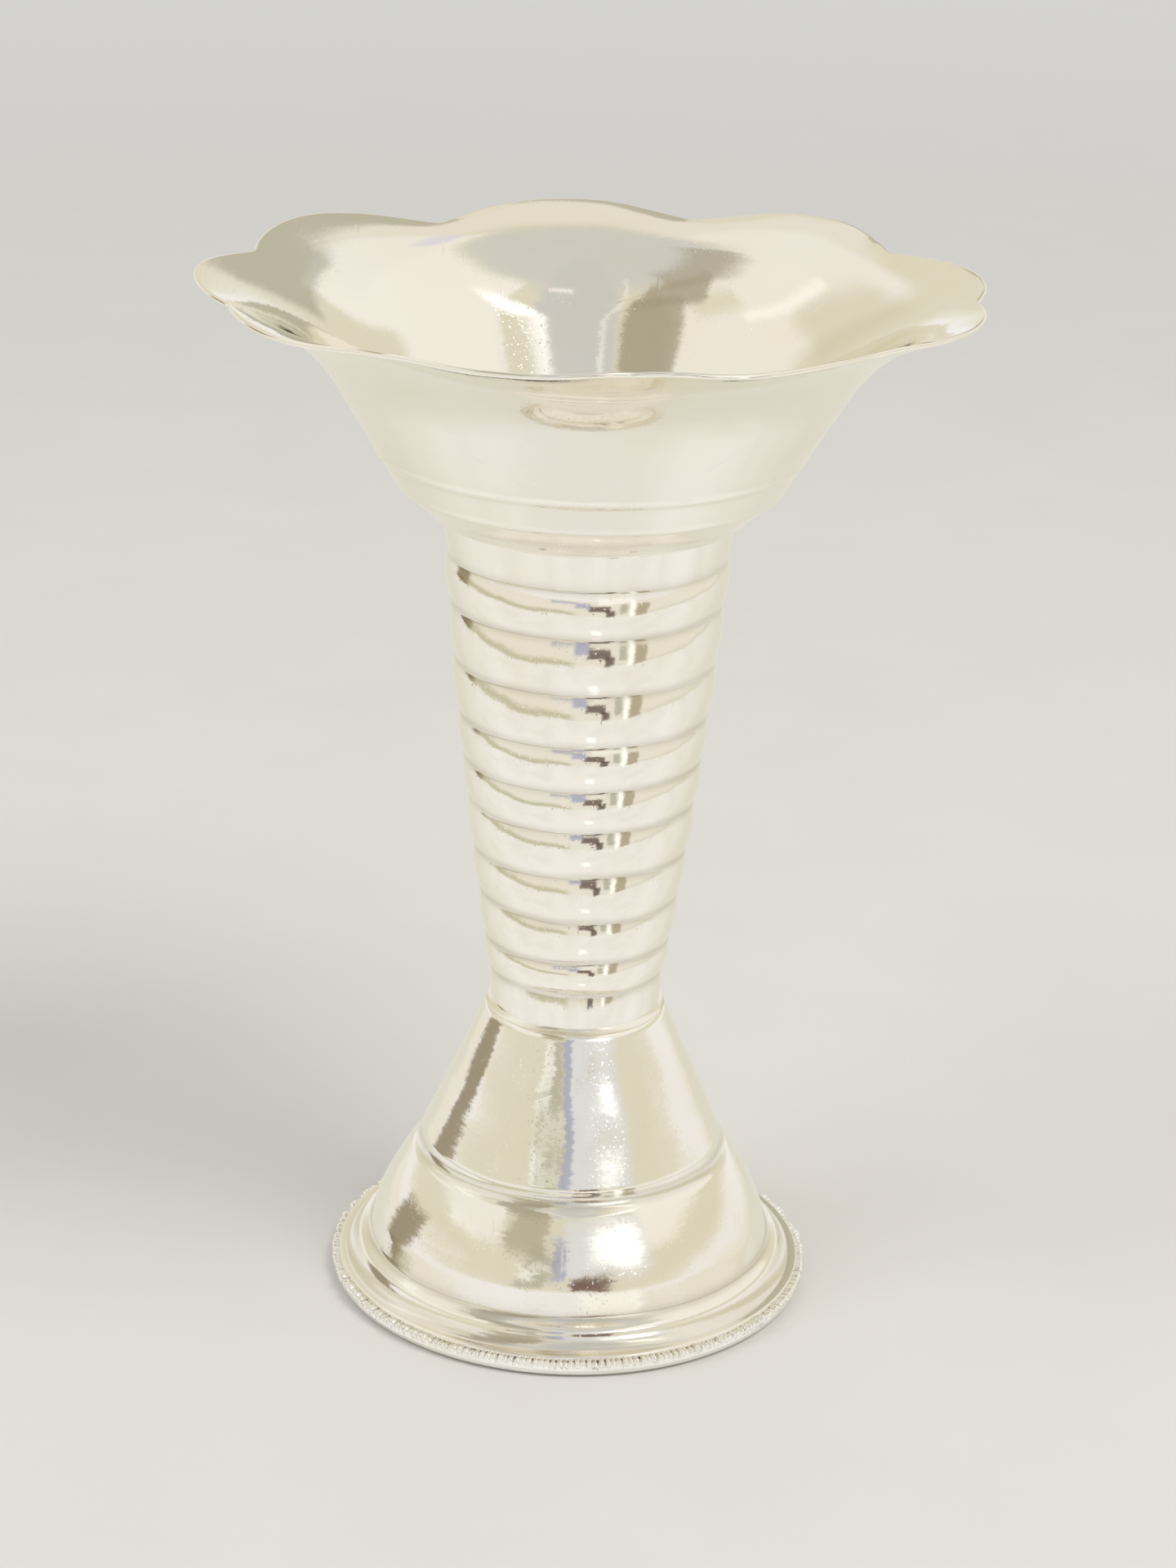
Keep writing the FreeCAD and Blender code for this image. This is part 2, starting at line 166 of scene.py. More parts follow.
def unevenness(loop, segments, size, *ripples):
    """The sum of ripples, times size[row], at each row of each section round the axis."""
    moved = np.zeros((segments, len(loop)))
    for i in range(segments):
        x, y = on_circle(i, segments)
        for j in np.nonzero(size)[0]:
            moved[i, j] = size[j] * sum(ripple(x, y, loop[j, 1], *numbers) for numbers in ripples)
    return moved


def skin(name, rings, groove):
    """A closed surface from sections round the axis: rings[segment][row] is a radius and a height."""
    segments, rows, _ = rings.shape
    angles = np.arange(segments) * TURN / segments
    places = np.empty((segments, rows, 3))
    places[..., 0] = rings[..., 0] * np.cos(angles)[:, None]
    places[..., 1] = rings[..., 0] * np.sin(angles)[:, None]
    places[..., 2] = rings[..., 1]
    places *= MM

    segment, row = np.meshgrid(np.arange(segments), np.arange(rows), indexing="ij")
    beyond, above = (segment + 1) % segments, (row + 1) % rows
    corners = ((segment, row), (beyond, row), (beyond, above), (segment, above))
    faces = np.stack([round_axis * rows + along for round_axis, along in corners], -1)

    mesh = bpy.data.meshes.new(name)
    mesh.from_pydata(places.reshape(-1, 3), [], faces.reshape(-1, 4).tolist())
    depths = mesh.attributes.new("groove", "FLOAT", "POINT")
    depths.data.foreach_set("value", groove.reshape(-1).astype(np.float32))
    mesh.shade_smooth()
    mesh.update()
    piece = bpy.data.objects.new(name, mesh)
    bpy.context.scene.collection.objects.link(piece)
    return piece


def hollows(outer, rows, width, depth):
    """How deep each row of the outer skin lies below the run of its profile: 0 on a crest, 1 in a groove.

    The section has more rows than the outer skin, and the rest of them get 0.
    """
    deep = np.zeros(rows)
    deep[:len(outer)] = np.clip((soften(outer, width)[:, 0] - outer[:, 0]) / depth, 0, 1)
    return deep


def spun(name, loop, deep, segments, outward, upward=0):
    """A ring of one section, with its rows moved by outward[segment][row] and upward[segment][row]."""
    rings = np.repeat(loop[None], segments, 0)
    rings[..., 0] += outward
    rings[..., 1] += upward
    return skin(name, rings, np.repeat(deep[None], segments, 0))


# ---------------------------------------------------------------- the vase's sizes

WALL = 0.6
FILM = 0.05                                     # solder between two tubes
foot_low, foot_high = (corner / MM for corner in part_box("foot"))
stem_low, stem_high = (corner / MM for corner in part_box("stem"))
wire_low, wire_high = (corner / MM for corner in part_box("foot_edge_wire"))
bowl_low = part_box("bowl")[0] / MM

RIB_HEIGHTS = (4.3, 5.6, 6.0, 6.0, 5.3, 5.65, 6.55, 7.0, 5.6)
RIB_DEPTH = 0.42
RIB_BOTTOM_RADIUS, RIB_TOP_RADIUS, RIB_BOW = 10.75, 16.75, 0.55
STEM_FOOT_RADIUS, STEM_BAND = 10.2, 4.9
COLLAR_RADIUS = STEM_FOOT_RADIUS + FILM + WALL

NOTCH_ANGLES = (-5.0, 34.0, 74.0, 118.5, 161.5, 202.0, 240.5, 276.0, 314.0)
NOTCH_RADII = (42.9, 42.0, 42.0, 40.5, 42.0, 42.9, 42.7, 43.0, 42.3)
LOBE_RADII = (45.0, 45.4, 45.0, 45.2, 45.1, 45.0, 44.5, 44.6, 45.0)


# ---------------------------------------------------------------- foot

# Each move of the foot's profile, from the brim up: run, rise and swell.
FOOT_MOVES = (
    (-0.75, 0, 0),              # brim
    (-1.4, 1.55, -0.18),        # cove
    (-0.6, 0.75, 0.15),         # rounded step
    (-0.93, 0.6, 0),            # ledge
    (-0.77, 3.0, 0),            # upright wall
    (-4.5, 8.2, 0.36),          # dome
    (-1.1, 2.3, -0.4),          # hollow line
)
CONE_SINK, SHOULDER_SWELL = -0.07, 0.1
FOOT_ROUNDING = 0.2
FOOT_SEGMENTS = 288
# What ripple() takes after the place: height, turns, pitch and shift.
FOOT_BROAD = (0.08, 1.7, 0.14, (0, 3))
FOOT_CLOSE = (0.13, 3.3, 0.17, (7, 0))


def make_foot():
    outline = Outline(foot_high.x, foot_low.z + WALL)
    for move in FOOT_MOVES:
        outline.arc(*move)
    outline.to(COLLAR_RADIUS + 0.25, foot_high.z - 0.75, CONE_SINK)
    outline.to(COLLAR_RADIUS - 0.35, foot_high.z - 0.05, SHOULDER_SWELL)
    outer = soften(resample(outline.points, FINE), FOOT_ROUNDING)
    loop, rows = sheet_loop(outer, WALL, 0.2)
    size = fade(loop[:, 1], 4, 6, foot_high.z - 2, 5)
    outward = unevenness(loop, FOOT_SEGMENTS, size, FOOT_BROAD, FOOT_CLOSE)
    return spun("foot_shell", loop, hollows(loop[:rows], len(loop), 0.8, 0.25), FOOT_SEGMENTS, outward)


# ---------------------------------------------------------------- edge wire and its beads

BEAD_PITCH = 0.72
BEAD_RISE = 0.62                                # from the bottom of a nick to the top of a bead
BEAD_NICK = 0.24                                # how deep the nicks are cut into the wire
BEAD_STEPS = 6                                  # segments of the mesh for each bead
TOOL_TEETH = 3                                  # the punch marks three beads at a blow
BEAD_MIDDLE, BEAD_SPREAD = 50, 38               # place on the wire's round, in degrees above level
BEAD_UNEVEN = (1.2, 9, 0.61, (0, 40))
BEAD_DRIFT = (0.45, 11, 0.77, (0, 80))
WIRE_WIDTH, WIRE_ROUND = 3.33, 1.12             # its section is flat within and round outside
WIRE_ARC = 128                                  # degrees that its round side turns through
CLEAR = 0.01                                    # keeps the wire off the table and the brim


def make_wire():
    """The wire under the brim. Each bead is a bump on its upper outer corner, and no two are quite alike."""
    radius, thick = wire_high.x, wire_high.z
    inside, middle = radius - WIRE_WIDTH, radius - WIRE_ROUND
    outline = Outline(inside, wire_low.z + CLEAR)
    outline.to(middle, wire_low.z + CLEAR)
    steps = 18
    for step in range(1, steps + 1):
        angle = math.radians(-90 + WIRE_ARC * step / steps)
        outline.points.append((middle + WIRE_ROUND * math.cos(angle), WIRE_ROUND * (1 + math.sin(angle))))
    outline.to(outline.points[-1][0] - 0.1, thick - CLEAR)
    outline.to(inside, thick - CLEAR)
    loop = resample(outline.points, 0.16)
    lift = np.zeros(len(loop))
    out = np.stack([loop[:, 0] - middle, loop[:, 1] - WIRE_ROUND], 1)
    angle_up = np.degrees(np.arctan2(out[:, 1], out[:, 0]))
    on_side = loop[:, 0] > middle
    lift[on_side] = np.clip(1 - np.abs(angle_up[on_side] - BEAD_MIDDLE) / BEAD_SPREAD, 0, 1) ** 0.7

    beads = TOOL_TEETH * round(TURN * (radius - 0.25) / BEAD_PITCH / TOOL_TEETH)
    segments = beads * BEAD_STEPS
    wobble = np.zeros((segments, len(loop), 2))
    direction = out / np.maximum(np.hypot(*out.T), 1e-6)[:, None]
    groove = np.zeros((segments, len(loop)))
    for i in range(segments):
        bead, place = divmod(i, BEAD_STEPS)
        x, y = on_circle(bead, beads)
        uneven = ripple(x, y, bead, *BEAD_UNEVEN)
        drift = ripple(x, y, bead, *BEAD_DRIFT)
        across = (place + 0.5) / BEAD_STEPS * 2 - 1 + drift
        narrow = 1.25 if bead % TOOL_TEETH == 0 and across < 0 else 1.0
        bump = math.sqrt(max(0, 1 - min(1, abs(across * narrow)) ** 2.2))
        rise = BEAD_RISE * (1 + uneven) * bump - BEAD_NICK
        wobble[i] = direction * (lift * rise)[:, None]
        groove[i] = lift * (1 - bump)
    rings = np.repeat(loop[None], segments, 0) + wobble
    return skin("beaded_edge", rings, np.clip(groove * 1.2, 0, 1))


# ---------------------------------------------------------------- stem

BAND_SWELL, NECK_SWELL = 0.09, 0.03
STEM_ROUNDING = 0.12
STEM_SEGMENTS = 264
STEM_ROUND = (0.08, 1.3, 0.16)
STEM_DENTS = (0.014, 3.6, 0.5, (9, 0))
RIB_SWAY = (0.34, 1.0, 0.17, (5, 0))


def make_stem():
    ribs_bottom = foot_high.z + STEM_BAND
    ribs_top = ribs_bottom + sum(RIB_HEIGHTS)

    def groove_radius(up):
        share = (up - ribs_bottom) / (ribs_top - ribs_bottom)
        taper = RIB_BOTTOM_RADIUS + (RIB_TOP_RADIUS - RIB_BOTTOM_RADIUS) * share
        return taper + RIB_BOW * 4 * share * (1 - share) - RIB_DEPTH

    outline = Outline(STEM_FOOT_RADIUS, stem_low.z)
    outline.to(STEM_FOOT_RADIUS, foot_high.z + 0.5)
    outline.to(groove_radius(ribs_bottom), ribs_bottom, BAND_SWELL)
    up = ribs_bottom
    for height in RIB_HEIGHTS:
        up += height
        outline.to(groove_radius(up), up, RIB_DEPTH)
    outline.to(stem_high.x, stem_high.z, NECK_SWELL)
    outer = soften(resample(outline.points, FINE), STEM_ROUNDING)
    loop, rows = sheet_loop(outer, WALL, 0.22)
    size = fade(loop[:, 1], foot_high.z + 1.5, 5, ribs_top + 1, 4)
    outward = unevenness(loop, STEM_SEGMENTS, size, STEM_ROUND, STEM_DENTS)
    upward = unevenness(loop, STEM_SEGMENTS, size, RIB_SWAY)
    return spun("stem_tube", loop, hollows(loop[:rows], len(loop), 0.9, 0.3), STEM_SEGMENTS, outward, upward)


# ---------------------------------------------------------------- bowl

FRONT_LIFT = 1.0                                # how far the rim rises at a notch in front
BACK_DIP = 1.2                                  # how far it falls at a notch behind
NOTCH_WIDTH = 6.5                               # degrees
BOWL_LEAN = 6.75 / 11.3                         # run of the bowl's cone for each millimetre up
BLANK_RADIUS, FLARE_RISE = 46.2, 11.3           # edge of the flare before the lobes are cut, and its height
FLARE_START, FLARE_END = 36.0, 44.0             # radii between which the rim is bent by hand
RIM_INSET = 0.12                                # room for the rounded edge of the rim
MOST_LIFT = 0.8                                 # keeps the rim's crests within the solids' box
SEAM_RADIUS = 17.5                              # where the bowl comes out over the stem's mouth
BOWL_ROUNDING = 0.14
BOWL_SEGMENTS = 540
FLARE_ROWS, EDGE_STEPS = 46, 5                  # rows of the mesh on the flare, and over the rim's edge
RIM_WAVE = (0.35, 2.2, 0, (0, 12.5))
RIM_WORKED = (0.16, 5.2, 0.16, (0, 30))
BOWL_SWAY = (0.06, 1.9, 0.09, (0, 20))
# Each move of the bowl's profile, from the seam up to the flare: run, rise and swell.
BOWL_MOVES = (
    (1.6, 1.35, 0.14),          # rounded shoulder
    (3.0, 2.4, 0),              # slope
    (0.7, 0.9, 0.12),           # raised ring
    (BOWL_LEAN * 3.0, 3.0, 0),  # cone
    (BOWL_LEAN, 1.0, 0.1),      # raised ring
    (BOWL_LEAN * 7.3, 7.3, 0),  # cone
)


def rim_radius(segments):
    """The radius of the cut rim at each step round it: an arc for each lobe, softened where they meet."""
    fine = 1440
    radii = np.zeros(fine)
    corners = [radius * np.array(on_circle(angle, 360)) for angle, radius in zip(NOTCH_ANGLES, NOTCH_RADII)]
    for place, angle in enumerate(NOTCH_ANGLES):
        here, there = corners[place], corners[(place + 1) % len(corners)]
        chord = there - here
        length = np.hypot(*chord)
        middle = (here + there) / 2
        outward = np.array([chord[1], -chord[0]]) / length
        swell = LOBE_RADII[place] - np.hypot(*middle)
        round_radius = length ** 2 / (8 * swell) + swell / 2
        centre = middle + outward * (swell - round_radius)
        span = (NOTCH_ANGLES[(place + 1) % len(corners)] - angle) % 360
        for step in range(int(span * fine / 360) + 2):
            turned = angle + step * 360 / fine
            along = np.array(on_circle(turned, 360)) @ centre
            if turned <= angle + span:
                reach = along + math.sqrt(max(0, round_radius ** 2 - centre @ centre + along ** 2))
                radii[round(turned * fine / 360) % fine] = reach
    steps = np.arange(-16, 17)
    kernel = bell(steps, 4.0)
    kernel /= kernel.sum()
    radii = sum(weight * np.roll(radii, step) for weight, step in zip(kernel, steps))
    return np.interp(np.arange(segments) * fine / segments, np.arange(fine + 1), np.append(radii, radii[0]))


def notch_lift(segments):
    """How far the rim bends at each notch, in millimetres: up along the front, and down along the back."""
    angles = np.arange(segments) * 360 / segments
    lift = np.zeros(segments)
    for angle in NOTCH_ANGLES:
        away = (angles - angle + 180) % 360 - 180
        front = -math.sin(math.radians(angle))
        lift += (FRONT_LIFT if front > 0 else BACK_DIP) * front * bell(away, NOTCH_WIDTH)
    return lift


def draw_flare(outline):
    """The flare: an arc that carries on from the cone and bends out to the edge of the blank."""
    x, y = outline.points[-1]
    run, rise = BLANK_RADIUS - x, FLARE_RISE
    slope = math.atan2(1, BOWL_LEAN)
    turn = slope - math.atan2(rise, run)
    radius = math.hypot(run, rise) / (2 * math.sin(turn))
    centre = (x + radius * math.sin(slope), y - radius * math.cos(slope))
    start = math.atan2(y - centre[1], x - centre[0])
    steps = 160
    for step in range(1, steps + 1):
        angle = start - 2 * turn * step / steps
        outline.points.append((centre[0] + radius * math.cos(angle), centre[1] + radius * math.sin(angle)))


def make_bowl():
    seam = stem_high.z
    collar = stem_high.x - WALL - FILM
    outline = Outline(collar, bowl_low.z)
    outline.to(collar, seam - 0.02)
    outline.to(SEAM_RADIUS, seam + 0.02)
    for move in BOWL_MOVES:
        outline.arc(*move)
    draw_flare(outline)
    outer = soften(resample(outline.points, FINE), BOWL_ROUNDING)
    inner = offset(outer, WALL)

    radii = rim_radius(BOWL_SEGMENTS)
    lift = notch_lift(BOWL_SEGMENTS)
    low = resample(outer[outer[:, 0] <= FLARE_START], 0.22)
    low_inner = resample(inner[inner[:, 0] <= FLARE_START - 0.3], 0.3)[::-1]
    flare = outer[outer[:, 0] > FLARE_START]
    flare_inner = inner[inner[:, 0] > FLARE_START - 0.3]
    shares = np.linspace(0, 1, FLARE_ROWS + 1)[1:]
    rings = []
    for i in range(BOWL_SEGMENTS):
        x, y = on_circle(i, BOWL_SEGMENTS)
        top = FLARE_START + (radii[i] - RIM_INSET - FLARE_START) * shares
        up = np.stack([top, np.interp(top, flare[:, 0], flare[:, 1])], 1)
        back = flare_inner[0, 0] + (radii[i] - RIM_INSET - flare_inner[0, 0]) * shares[::-1]
        down = np.stack([back, np.interp(back, flare_inner[:, 0], flare_inner[:, 1])], 1)
        over = rounded_edge(up[-1], down[0], EDGE_STEPS)
        under = rounded_edge(low_inner[-1], low[0], EDGE_STEPS)
        ring = np.concatenate([low, up, over, down, low_inner, under])
        share = np.clip((ring[:, 0] - FLARE_START) / (FLARE_END - FLARE_START), 0, 1.1)
        body = np.clip((ring[:, 1] - seam - 6) / 8, 0, 1)
        wave = ripple(x, y, 0, *RIM_WAVE) + lift[i]
        worked = np.array([ripple(x, y, place, *RIM_WORKED) for place in ring[:, 0]])
        ring[:, 1] += np.minimum(share ** 2 * wave, MOST_LIFT) + share * worked
        sway = np.array([ripple(x, y, place, *BOWL_SWAY) for place in ring[:, 1]])
        ring[:, 0] += body * sway
        rings.append(ring)
    deep = hollows(low, len(rings[0]), 0.8, 0.2)
    return skin("bowl_shell", np.array(rings), np.repeat(deep[None], BOWL_SEGMENTS, 0))


# ---------------------------------------------------------------- materials

class Nodes:
    """A short way to write node trees: each call adds one node and returns its output."""

    def __init__(self, tree):
        self.tree = tree
        tree.nodes.clear()

    def add(self, kind, inputs=(), output=0, **settings):
        node = self.tree.nodes.new(kind)
        for name, value in settings.items():
            setattr(node, name, value)
        for name, value in dict(inputs).items():
            self.put(node.inputs[name], value)
        return node.outputs[output]

    def put(self, socket, value):
        if isinstance(value, bpy.types.NodeSocket):
            self.tree.links.new(value, socket)
        else:
            socket.default_value = value

    def math(self, operation, first, second=0.0, clamp=False):
        return self.add("ShaderNodeMath", {0: first, 1: second}, operation=operation, use_clamp=clamp)

    def mix(self, share, first, second):
        return self.add("ShaderNodeMix", {"Factor": share, 6: first, 7: second}, 2, data_type="RGBA")

    def ramp(self, value, low, high, bottom=0.0, top=1.0):
        inputs = {"Value": value, "From Min": low, "From Max": high, "To Min": bottom, "To Max": top}
        return self.add("ShaderNodeMapRange", inputs, interpolation_type="SMOOTHSTEP")

    def noise(self, vector, scale, detail=2.0, roughness=0.5, output=0):
        inputs = {"Vector": vector, "Scale": scale, "Detail": detail, "Roughness": roughness}
        return self.add("ShaderNodeTexNoise", inputs, output)

    def vector(self, operation, first, second=0.0):
        """Vector maths, where SCALE takes a number as its second input."""
        inputs = {0: first}
        if operation != "NORMALIZE":
            inputs[3 if operation == "SCALE" else 1] = second
        return self.add("ShaderNodeVectorMath", inputs, operation=operation)


SILVER = (0.93, 0.90, 0.835, 1)
# A lighter copy of the same silver for the beads: painted highlight that makes the bead row read whiter than
# the foot
BRIGHTENED_BEAD_SILVER = (0.97, 0.955, 0.92, 1)
SOLDER = (0.92, 0.89, 0.82, 1)
WARM = (0.985, 0.97, 0.92)                      # how the clouds in the polish tint the silver
TARNISH = (0.30, 0.25, 0.16, 1)
# The two ways that scratches run: the turn of their noise, and its scale, long along one axis.
SCRATCH_WAYS = (((0.5, 0.9, 0.35), (1300, 110, 130)), ((1.2, -0.7, 1.9), (120, 1500, 140)))


def silver(name, colour, roughness, line_depth, jag, grit, dent, scratch, tarnish):
    """Polished silver: circular polish lines, grit, cloudy gloss, fine scratches, and tarnish in the grooves.

    jag tilts the surface to and fro along the polish lines, and grit tilts it from grain to grain. line_depth
    and dent are the depths of the lines and of soft dents, in metres. scratch also sets how far the flecks,
    which catch the light, tilt the surface upward.
    """
    material = bpy.data.materials.new(name)
    material.use_nodes = True
    n = Nodes(material.node_tree)
    place = n.add("ShaderNodeTexCoord", output="Object")
    parts = n.tree.nodes.new("ShaderNodeSeparateXYZ")
    n.put(parts.inputs[0], place)
    x, y, z = parts.outputs
    radius = n.math("SQRT", n.math("ADD", n.math("MULTIPLY", x, x), n.math("MULTIPLY", y, y)))
    sway = n.math("MULTIPLY", n.math("ADD", x, n.math("MULTIPLY", y, 0.7)), 0.02)
    turned = n.add("ShaderNodeCombineXYZ", {0: radius, 1: z, 2: sway})

    fine = n.noise(turned, 5200.0, 3.0, 0.65)
    broad = n.noise(turned, 1100.0, 2.0, 0.6)
    lines = n.math("ADD", n.math("MULTIPLY", fine, 0.35), broad)
    clouds = n.noise(place, 42.0, 4.0, 0.6)
    dents = n.noise(place, 210.0, 2.0, 0.5)

    ways = [n.noise(n.add("ShaderNodeMapping", {"Vector": place, "Rotation": turn, "Scale": scale}), 1.0, 1.0)
            for turn, scale in SCRATCH_WAYS]
    marks = n.math("MAXIMUM", *ways)
    scratches = n.math("MULTIPLY", n.ramp(marks, 0.72, 0.79), scratch)

    groove = n.add("ShaderNodeAttribute", output="Fac", attribute_name="groove")
    dirt = n.math("MULTIPLY", groove, n.ramp(clouds, 0.30, 0.62, 0.45, 1.0))
    tint = n.mix(n.ramp(clouds, 0.35, 0.7), colour, [c * f for c, f in zip(colour, WARM)] + [1])
    worn = n.mix(n.math("MULTIPLY", dirt, tarnish, clamp=True), tint, TARNISH)
    gloss = n.ramp(clouds, 0.3, 0.75, roughness * 0.8, roughness * 1.4)
    gloss = n.math("ADD", gloss, n.math("MULTIPLY", dirt, 0.12))
    gloss = n.math("ADD", gloss, n.math("MULTIPLY", scratches, 0.15))

    normal = n.add("ShaderNodeNewGeometry", output="Normal")
    around = n.vector("NORMALIZE", n.vector("CROSS_PRODUCT", (0, 0, 1), place))
    swing = n.math("MULTIPLY", n.math("SUBTRACT", n.noise(turned, 1900.0, 1.0, 0.5), 0.5), jag)
    speck = n.vector("SUBTRACT", n.noise(place, 2300.0, 2.0, 0.6, output=1), (0.5, 0.5, 0.5))
    flecks = n.math("MULTIPLY", n.ramp(n.noise(place, 3600.0, 0.0), 0.70, 0.77), 0.3 * scratch)
    tilted = n.vector("ADD", normal, n.vector("SCALE", around, swing))
    tilted = n.vector("ADD", tilted, n.vector("SCALE", (0, 0, 0.25), flecks))
    tilted = n.vector("NORMALIZE", n.vector("ADD", tilted, n.vector("SCALE", speck, grit)))
    relief = n.add("ShaderNodeBump", {"Distance": dent, "Height": dents, "Normal": tilted})
    relief = n.add("ShaderNodeBump", {"Distance": line_depth, "Height": lines, "Normal": relief})
    relief = n.add("ShaderNodeBump", {"Distance": 5e-6, "Height": scratches, "Normal": relief})
    inputs = {"Base Color": worn, "Metallic": 1.0, "Roughness": gloss, "Normal": relief}
    finish_tree(n, n.add("ShaderNodeBsdfPrincipled", inputs))
    return material


def finish_tree(n, shader):
    output = n.tree.nodes.new("ShaderNodeOutputMaterial")
    n.put(output.inputs["Surface"], shader)


def paint(piece, material):
    piece.data.materials.clear()
    piece.data.materials.append(material)


# ---------------------------------------------------------------- room

STUDIO = (0.62, 0.61, 0.59, 1)
BACKDROP = (0.66, 0.655, 0.64, 1)
WALL_LOW = (0.87, 0.835, 0.75, 1)
WALL_CREAM = (0.77, 0.735, 0.605, 1)
CEILING = (0.66, 0.66, 0.64, 1)
TABLE_WHITE = (0.94, 0.92, 0.90, 1)
TABLE_SHADE = (0.89, 0.865, 0.83, 1)
TABLE_BELOW = (0.82, 0.81, 0.765, 1)
TABLE_BEHIND = (0.75, 0.735, 0.635, 1)
LAMP_SPOT = (1.25, 1.25, 1.22, 1)
TABLE_DIP = 25.5                                # degrees below level of the table's front edge; level behind

# What the metal reflects: azimuth and half width, elevation and half height, lean (azimuth for each degree
# up) and softness, all in degrees, then colour and strength. Azimuth 0 is towards the camera, 90 is right.
ROOM_THINGS = (
    ((0, 180), (1.5, 4), 0, 2, (0.94, 0.915, 0.925, 1), 0.95),
    ((12, 26), (64, 20), 0, 4, (0.64, 0.64, 0.63, 1), 1.0),
    ((-105, 60), (43, 20), 0, 4, (0.94, 0.91, 0.85, 1), 0.9),
    ((-138, 20), (27, 12), 0.8, 6, (0.66, 0.63, 0.47, 1), 0.6),
    ((-112, 24), (43, 2.5), 0, 2.5, (1.15, 1.13, 1.08, 1), 0.6),
    ((-75, 15), (53, 5), 0, 4, (0.70, 0.67, 0.50, 1), 0.6),
    ((-72, 14), (23, 3), 0, 4, (1.0, 0.98, 0.92, 1), 0.7),
    ((105, 52), (45, 20), 0, 2.5, (0.98, 0.95, 0.90, 1), 0.9),
    ((-36, 18), (50, 9), -0.5, 2.5, (0.38, 0.34, 0.26, 1), 0.8),
    ((-54, 26), (61, 6), -2, 2.5, (0.39, 0.35, 0.27, 1), 0.8),
    ((-95, 42), (68, 5), 0, 3, (0.42, 0.38, 0.30, 1), 0.7),
    ((-14, 1.5), (58, 14), -1.0, 1, (1.0, 1.0, 0.96, 1), 0.6),
    ((24, 10), (64.5, 1.2), 0, 1.2, (1.2, 1.15, 1.1, 1), 0.6),
    ((-27, 12), (34, 9), 0.2, 2.5, (0.42, 0.38, 0.27, 1), 0.7),
    ((-19, 9), (20, 9), 0.6, 2, (0.45, 0.43, 0.33, 1), 0.75),
    ((47, 9), (50, 5), 3, 5, (1.5, 1.5, 1.5, 1), 1.0),
    ((25, 29), (29, 12), 0.2, 3, (0.78, 0.79, 0.81, 1), 1.0),
    ((34, 15), (31, 5), 0, 7, (1.7, 1.7, 1.7, 1), 1.0),
    ((37, 10), (23.5, 2), 0, 5, (1.5, 1.5, 1.48, 1), 0.9),
    ((-16, 8), (23, 1.6), 0, 1.2, (0.86, 0.83, 0.72, 1), 0.85),
    ((-26, 5), (19, 2), 0, 2, (1.05, 1.05, 1.0, 1), 0.8),
    ((-5, 5), (25, 9), 0, 1.5, (0.33, 0.36, 0.54, 1), 0.7),
    ((15, 10), (12.2, 4.2), 0, 1.5, (0.14, 0.055, 0.045, 1), 0.9),
    ((24, 15), (-1, 5), 0, 2, (1.05, 1.03, 0.98, 1), 0.85),
    ((11, 9), (-14, 4.5), 0, 1, (0.11, 0.06, 0.05, 1), 0.85),
    ((20, 4), (-22, 6), 0, 1, (0.09, 0.05, 0.04, 1), 0.85),
    ((-3, 6), (-9.5, 4), 0, 1.5, (0.36, 0.39, 0.60, 1), 0.75),
    ((-17, 9), (-6, 1.8), 0, 1.5, (0.40, 0.42, 0.56, 1), 0.7),
    ((31, 3), (-14, 6), 0, 1, (0.38, 0.40, 0.33, 1), 0.7),
    ((37.5, 1.8), (-15, 13), 0, 0.6, (1.2, 1.2, 1.15, 1), 1.0),
    ((46, 5.5), (-18, 10.5), 0, 1, (0.40, 0.34, 0.22, 1), 0.8),
    ((-112.5, 8.5), (-2, 11), 0.65, 2.5, (0.26, 0.21, 0.115, 1), 0.85),
    ((-124, 9), (-18, 9), 1.2, 3, (0.20, 0.15, 0.08, 1), 0.7),
    ((150, 8), (58, 3), 0, 2, (0.45, 0.47, 1.0, 1), 0.6),
    ((-160, 22), (48, 14), 0, 5, (0.90, 0.87, 0.82, 1), 0.55),
    ((158, 26), (48, 14), 0, 5, (0.90, 0.87, 0.82, 1), 0.55),
    ((167, 15), (26, 12), 0, 2.5, (0.37, 0.35, 0.27, 1), 0.6),
)
# The shade beyond the table's edge: azimuth and half width, height above the edge and half height, all in
# degrees, then colour and strength.
TABLE_EDGES = (
    ((-62, 52), (3.0, 2.8), (0.44, 0.42, 0.25, 1), 0.65),
    ((98, 45), (1.0, 1.6), (0.62, 0.60, 0.48, 1), 0.55),
)


